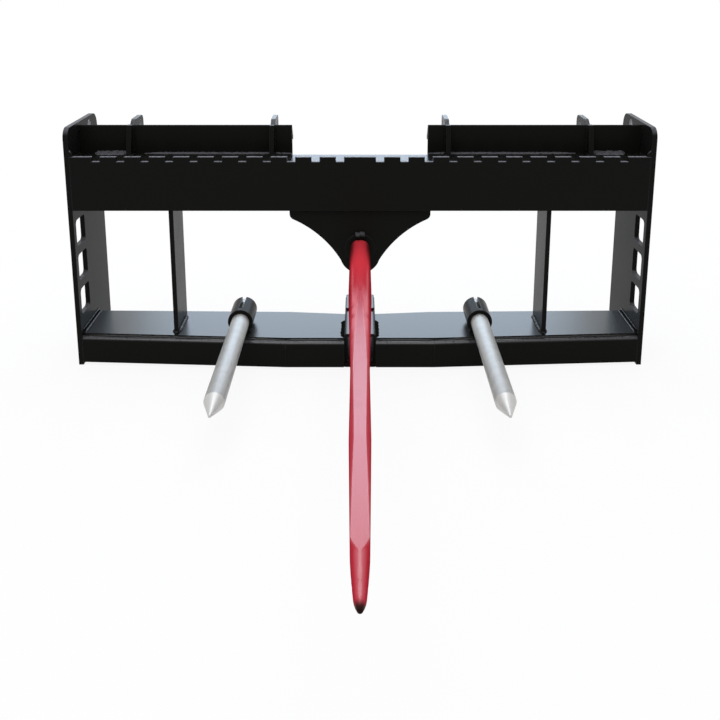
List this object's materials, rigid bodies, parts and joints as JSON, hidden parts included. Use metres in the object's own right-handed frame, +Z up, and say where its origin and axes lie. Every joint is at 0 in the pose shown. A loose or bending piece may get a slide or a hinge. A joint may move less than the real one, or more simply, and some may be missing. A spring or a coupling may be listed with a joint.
{
  "type": "bale spear",
  "caption": "Loader-mounted bale spear: black welded plate frame with hooked top, red main spear, zinc stabiliser rods in tube sockets and a receiver tube in the lower beam.",
  "frame": {"origin": "middle of the whole footprint, at the height of the side plates' feet", "axes": "+X to the right seen from in front, +Y from the spear's point to the loader, +Z up"},
  "size_m": [1.15, 1.28, 0.49],
  "materials": {
    "black_paint": "gloss black paint over welded plate",
    "red_paint": "satin red paint over forged steel",
    "zinc": "bright zinc plating",
    "hardware": "zinc-plated nut and washer"
  },
  "bodies": {
    "root": {"side_plate_left": "black_paint", "side_plate_right": "black_paint", "upper_front_plate": "black_paint", "shelf_plate": "black_paint", "hook_plate_left": "black_paint", "hook_plate_right": "black_paint", "outer_hook_lug_left": "black_paint", "outer_hook_lug_right": "black_paint", "inner_hook_lug_left": "black_paint", "inner_hook_lug_right": "black_paint", "outer_hook_gusset_left": "black_paint", "outer_hook_gusset_right": "black_paint", "inner_hook_gusset_left": "black_paint", "inner_hook_gusset_right": "black_paint", "hub_plate": "black_paint", "hub_rear_plate": "black_paint", "spear_bushing": "black_paint", "beam_front_centre_left": "black_paint", "beam_front_centre_right": "black_paint", "beam_front_wing_left": "black_paint", "beam_front_wing_right": "black_paint", "beam_cover_left": "black_paint", "beam_cover_right": "black_paint", "latch_plate_left": "black_paint", "latch_plate_right": "black_paint", "upright_rib_left": "black_paint", "upright_rib_right": "black_paint", "receiver_tube": "black_paint", "receiver_strap": "black_paint", "stabiliser_socket_left": "black_paint", "stabiliser_socket_right": "black_paint", "main_spear": "red_paint", "stabiliser_left": "zinc", "stabiliser_right": "zinc", "stabiliser_pin_left": "zinc", "stabiliser_pin_right": "zinc", "spear_washer": "hardware", "spear_nut": "hardware"}
  },
  "joints": []
}
